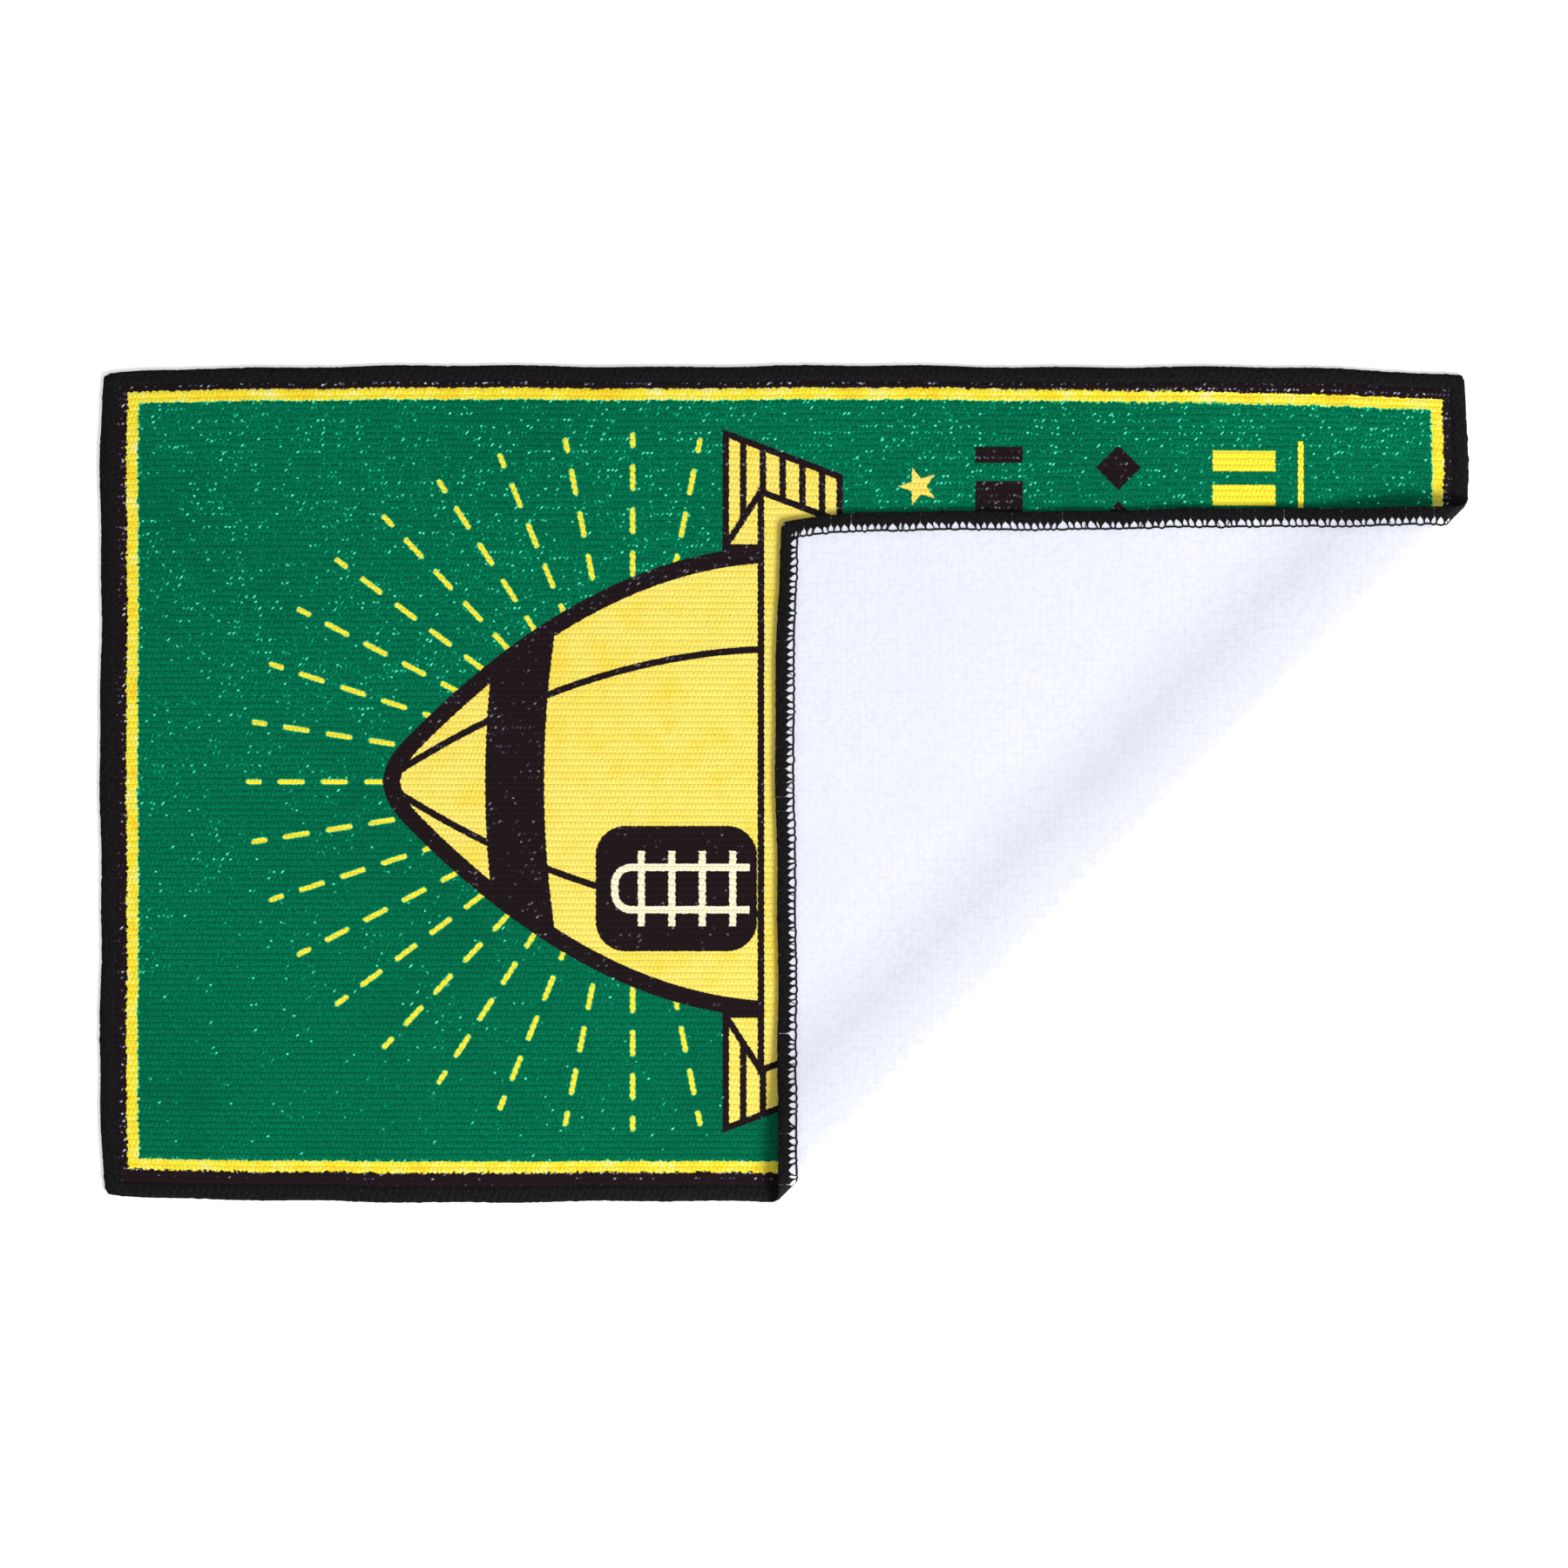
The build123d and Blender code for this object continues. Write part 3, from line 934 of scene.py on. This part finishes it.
def white_material():
    """The unprinted back: soft cells of the knit with painted shade where the loops dip, and a slightly
    uneven tone.
    """
    material, shader, x, y = new_material("white_knit_back", "drawn")
    place = vector_of(x, y)
    loops = cells(vector_of(x / 1.95, y / WALE), 0.55)
    fuzz = noise(place, 1.3, 3.0)
    height = calculate("MULTIPLY_ADD", loops, loops * -1.0, 1.0)
    # Painted shade: the white is darker in the hollows between the knit's loops.
    shade = remap(loops + fuzz * 0.5, 0.55, 1.15, 0.0, 0.45)
    tone = painted(colour(240, 241, 252), colour(218, 222, 241), shade)
    cloudy = noise(place, 0.02, 3.0)
    tone = painted(tone, colour(231, 233, 249), remap(cloudy, 0.45, 0.75, 0.0, 0.5))
    connect(tone, shader.inputs["Base Color"])
    connect(remap(fuzz, 0.2, 0.8, 0.78, 0.95), shader.inputs["Roughness"])
    shader.inputs["Specular IOR Level"].default_value = 0.05
    shader.inputs["Sheen Weight"].default_value = 0.02
    fine = noise(place, 2.4, 3.0)
    add_bump(shader, height * 0.5 + fuzz * 0.8 + fine * 0.4, 0.12 * MM, 0.6)
    return material


def thread_material():
    """Black textured thread, with fibres along each strand that carry a painted grey sheen, and a few
    painted pale glints.
    """
    material, shader, x, y = new_material("overlock_thread", "fibre")
    fibres = noise(vector_of(x * 9.0, y * 0.9), 1.0, 3.0)
    glints = noise(vector_of(x * 5.0, y * 1.6), 1.0, 2.0)
    black, fibre_sheen_grey = colour(8, 7, 8), colour(46, 44, 47)
    # Painted sheen: grey streaks along the fibres; colour(150, 150, 160) is a painted highlight for the
    # glints.
    tone = painted(black, fibre_sheen_grey, remap(fibres, 0.44, 0.7, 0.0, 0.75))
    tone = painted(tone, colour(150, 150, 160), remap(glints, 0.7, 0.8, 0.0, 0.5))
    connect(tone, shader.inputs["Base Color"])
    connect(remap(fibres, 0.3, 0.8, 0.72, 0.48), shader.inputs["Roughness"])
    shader.inputs["Specular IOR Level"].default_value = 0.07
    add_bump(shader, fibres, 0.12 * MM, 0.7)
    return material


# ---------------------------------------------------------------- the pieces
printed, white, thread = printed_material(), white_material(), thread_material()
cloth = flat_cloth()
FAR = 1.0  # further than any point of the towel
# The CAD node that each zone of the cloth stands for, and where the zone starts and ends.
ZONES = {
    "panel": ("cloth_panel", -FAR, -FLAT_STRIP),
    "bend": ("cloth_fold", -FLAT_STRIP, BEND_LENGTH / 2),
    "slope": ("cloth_fold", BEND_LENGTH / 2, CORNER_REACH),
    "corner": ("cloth_corner", CORNER_REACH, FAR),
}
# Both say the same where they meet. Tuned so that the printed face is nearly flat when the
# corner is laid out.
TURNS = {"bend": (-0.7494, 0.0, 441.8), "slope": (0.6366, 9.97, 15.16)}


def place_on_body(piece, zone):
    """The panel and the corner ride on their bodies, and what lies between them is blended."""
    if zone not in TURNS:
        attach(piece, zone)
        return
    foot, inward, up = TURNS[zone]
    gradient = np.array([*(-inward * OUTWARD), up])
    span = gradient / (gradient @ gradient)
    start = np.array([*(OUTWARD * FOLD_LINE), 0.0]) - foot * span
    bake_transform(piece, "panel", "corner", tuple(start), tuple(start + span))


def keep_half(piece, upper):
    """Keeps the part of a piece that is above, or below, the middle of the bend."""
    mesh = bmesh.new()
    mesh.from_mesh(piece.data)
    parts = mesh.verts[:] + mesh.edges[:] + mesh.faces[:]
    bmesh.ops.bisect_plane(mesh, geom=parts, dist=1e-7, plane_co=(0, 0, BEND_CENTRE + RIPPLE_MEAN),
                           plane_no=(0, 0, 1), clear_inner=upper, clear_outer=not upper)
    mesh.to_mesh(piece.data)
    mesh.free()


for edge, row in EDGES.items():
    stitches = stitch_places(row[3])
    sew_upper_looper(edge, stitches)
    sew_lower_looper(edge, stitches)
    sew_needle(edge, stitches)

stitched = {zone: [] for zone in ZONES}


def add_stitches(name, node, zone, seam, cut=False):
    """One piece of a thread; cut keeps only the half of the bend that belongs to the zone."""
    piece = new_piece(f"{name}_stitches", np.concatenate(seam.points), seam.faces,
                      np.concatenate(seam.uv), "fibre", [thread])
    if cut:
        keep_half(piece, upper=zone == "slope")
    place_on_body(piece, zone)
    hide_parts(node)
    stitched[zone].append(piece)


for (zone, edge, kind), seam in seams.items():
    place = zone if zone in ("panel", "corner") else "fold"
    node = f"{place}_{edge}_{kind}"
    if zone == "bend":
        add_stitches(f"bend_lower_{edge}_{kind}", node, "bend", seam, cut=True)
        add_stitches(f"bend_upper_{edge}_{kind}", node, "slope", seam, cut=True)
    else:
        add_stitches(f"{zone}_{edge}_{kind}", node, zone, seam)

for zone, (node, low, high) in ZONES.items():
    piece, flat, area = closed_cloth(cloth, f"knit_{zone}", low, high, [printed, white])
    place_on_body(piece, zone)
    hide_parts(node)
    "printed_cloth" if zone == "panel" else "white_cloth_back"
    if zone in TURNS:
        flat = np.stack([flat @ OUTWARD, flat @ ALONG], axis=1)
    "laid" if zone == "panel" else "folded"
    ["floor"] if zone == "panel" else ["knit_panel"]
cloth.free()


# ---------------------------------------------------------------- floor, light and camera
def make_floor():
    """A wide white floor, slightly lit by itself, as in the photograph."""
    mesh = bpy.data.meshes.new("floor")
    half = 4.0
    corners = [(-half, -half, 0), (half, -half, 0), (half, half, 0), (-half, half, 0)]
    mesh.from_pydata(corners, [], [(0, 1, 2, 3)])
    floor = bpy.data.objects.new("floor", mesh)
    bpy.context.scene.collection.objects.link(floor)
    material = bpy.data.materials.new("pale_floor")
    material.use_nodes = True
    shader = material.node_tree.nodes["Principled BSDF"]
    shader.inputs["Base Color"].default_value = (0.97, 0.97, 0.97, 1)
    shader.inputs["Roughness"].default_value = 0.9
    shader.inputs["Specular IOR Level"].default_value = 0.0
    shader.inputs["Emission Color"].default_value = (1, 1, 1, 1)
    shader.inputs["Emission Strength"].default_value = 0.3
    mesh.materials.append(material)


def add_area_light(name, place, size, power):
    light = bpy.data.lights.new(name, "AREA")
    light.size = size
    light.energy = power
    holder = bpy.data.objects.new(name, light)
    holder.location = place
    holder.rotation_euler = (-holder.location).to_track_quat("-Z", "Y").to_euler()
    bpy.context.scene.collection.objects.link(holder)


def make_studio():
    world = bpy.data.worlds.new("studio")
    world.use_nodes = True
    world.node_tree.nodes["Background"].inputs["Color"].default_value = (1, 1, 1, 1)
    world.node_tree.nodes["Background"].inputs["Strength"].default_value = 0.56
    bpy.context.scene.world = world
    add_area_light("key", (1.45, -1.34, 1.12), 0.8, 70)
    bpy.context.scene.view_settings.view_transform = "Standard"


def make_camera():
    """The photograph is taken from straight above."""
    distance, seen, sensor = 1.2, 0.5248, 36.0
    data = bpy.data.cameras.new("camera")
    data.sensor_width = sensor
    data.lens = sensor * distance / seen
    camera = bpy.data.objects.new("camera", data)
    camera.location = (0, 0, distance + THICKNESS)
    bpy.context.scene.collection.objects.link(camera)
    bpy.context.scene.camera = camera


make_floor()
make_studio()
make_camera()
